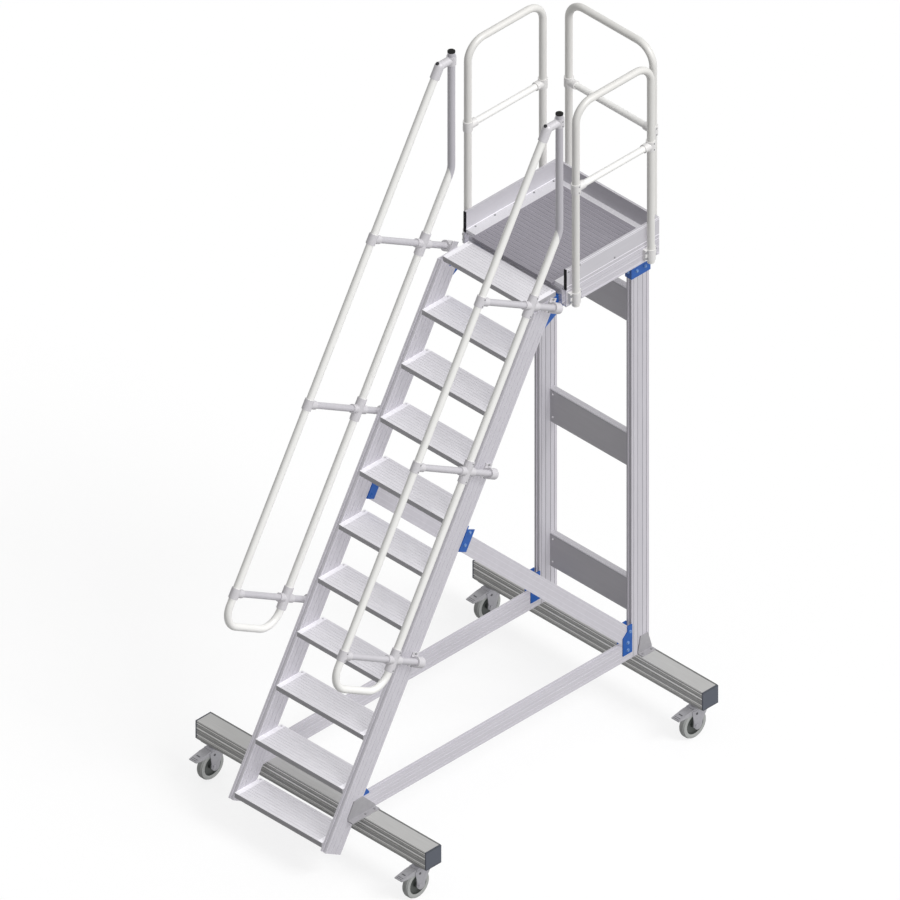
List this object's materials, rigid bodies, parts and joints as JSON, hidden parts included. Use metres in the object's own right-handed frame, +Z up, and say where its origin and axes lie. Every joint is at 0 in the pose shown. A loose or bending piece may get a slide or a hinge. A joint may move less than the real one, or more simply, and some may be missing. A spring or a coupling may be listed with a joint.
{
  "type": "mobile platform stairs",
  "caption": "Steep aluminium stair with closed-ended treads up to a railed platform, with bent tube handrails, on cross rails with braked swivel casters.",
  "frame": {"origin": "middle of the footprint on the floor under the casters", "axes": "+Z up, +Y from the foot of the stair towards the platform's back railing, +X across the stair, to the right of a person climbing"},
  "size_m": [1.516, 2.2195, 3.662],
  "materials": {
    "frame_profile": "satin, ribbed extrusion",
    "base_rail": "satin, slotted extrusion",
    "tread_plate": "ribbed, mill finish",
    "deck_plate": "ribbed, darker mill finish",
    "toe_board": "satin",
    "rail_tube": "bright drawn tube",
    "clamp_casting": "cast, tumbled",
    "blue_bracket": "blue, gloss",
    "grey_gusset": "grey, satin",
    "end_cap": "dark blue-grey, matt",
    "tube_cap": "black, matt",
    "zinc_steel": "zinc plated pressed steel",
    "brake_lever": "zinc plated pressed steel",
    "wheel_core": "dark grey, matt",
    "wheel_tyre": "light grey, matt"
  },
  "bodies": {
    "frame": {"stringer_left": "frame_profile", "stringer_right": "frame_profile", "upright_left": "frame_profile", "upright_right": "frame_profile", "base_tube_left": "frame_profile", "base_tube_right": "frame_profile", "brace_left": "frame_profile", "brace_right": "frame_profile", "platform_side_beams": "frame_profile", "platform_cross_beams": "frame_profile", "back_boards": "toe_board", "toe_boards_side": "toe_board", "toe_board_rear": "toe_board", "deck_ledge": "toe_board", "rail_front": "base_rail", "rail_rear": "base_rail", "rail_end_caps": "end_cap", "treads": "tread_plate", "deck": "deck_plate", "railing_left": "rail_tube", "railing_right": "rail_tube", "railing_rear": "rail_tube", "knee_rails": "rail_tube", "handrail_left": "rail_tube", "handrail_right": "rail_tube", "handrail_spacers": "rail_tube", "railing_fittings": "clamp_casting", "handrail_fittings": "clamp_casting", "corner_brackets": "blue_bracket", "rail_gussets": "grey_gusset", "handrail_caps": "tube_cap", "caster_plates": "zinc_steel"},
    "swivel_front_left": {"caster_fork_front_left": "zinc_steel", "caster_pedal_front_left": "brake_lever"},
    "wheel_front_left": {"wheel_core_front_left": "wheel_core", "wheel_tyre_front_left": "wheel_tyre"},
    "swivel_front_right": {"caster_fork_front_right": "zinc_steel", "caster_pedal_front_right": "brake_lever"},
    "wheel_front_right": {"wheel_core_front_right": "wheel_core", "wheel_tyre_front_right": "wheel_tyre"},
    "swivel_rear_left": {"caster_fork_rear_left": "zinc_steel", "caster_pedal_rear_left": "brake_lever"},
    "wheel_rear_left": {"wheel_core_rear_left": "wheel_core", "wheel_tyre_rear_left": "wheel_tyre"},
    "swivel_rear_right": {"caster_fork_rear_right": "zinc_steel", "caster_pedal_rear_right": "brake_lever"},
    "wheel_rear_right": {"wheel_core_rear_right": "wheel_core", "wheel_tyre_rear_right": "wheel_tyre"}
  },
  "joints": [
    {"name": "swivel_front_left", "type": "hinge", "parent": "frame", "child": "swivel_front_left", "pos_m": [-0.675, -0.83631, 0.19], "axis": [0, 0, 1], "continuous": true},
    {"name": "roll_front_left", "type": "hinge", "parent": "swivel_front_left", "child": "wheel_front_left", "pos_m": [-0.675, -0.87231, 0.075], "axis": [1, 0, 0], "continuous": true},
    {"name": "swivel_front_right", "type": "hinge", "parent": "frame", "child": "swivel_front_right", "pos_m": [0.675, -0.83631, 0.19], "axis": [0, 0, 1], "continuous": true},
    {"name": "roll_front_right", "type": "hinge", "parent": "swivel_front_right", "child": "wheel_front_right", "pos_m": [0.675, -0.87231, 0.075], "axis": [1, 0, 0], "continuous": true},
    {"name": "swivel_rear_left", "type": "hinge", "parent": "frame", "child": "swivel_rear_left", "pos_m": [-0.675, 0.98331, 0.19], "axis": [0, 0, 1], "continuous": true},
    {"name": "roll_rear_left", "type": "hinge", "parent": "swivel_rear_left", "child": "wheel_rear_left", "pos_m": [-0.675, 0.94731, 0.075], "axis": [1, 0, 0], "continuous": true},
    {"name": "swivel_rear_right", "type": "hinge", "parent": "frame", "child": "swivel_rear_right", "pos_m": [0.675, 0.98331, 0.19], "axis": [0, 0, 1], "continuous": true},
    {"name": "roll_rear_right", "type": "hinge", "parent": "swivel_rear_right", "child": "wheel_rear_right", "pos_m": [0.675, 0.94731, 0.075], "axis": [1, 0, 0], "continuous": true}
  ]
}
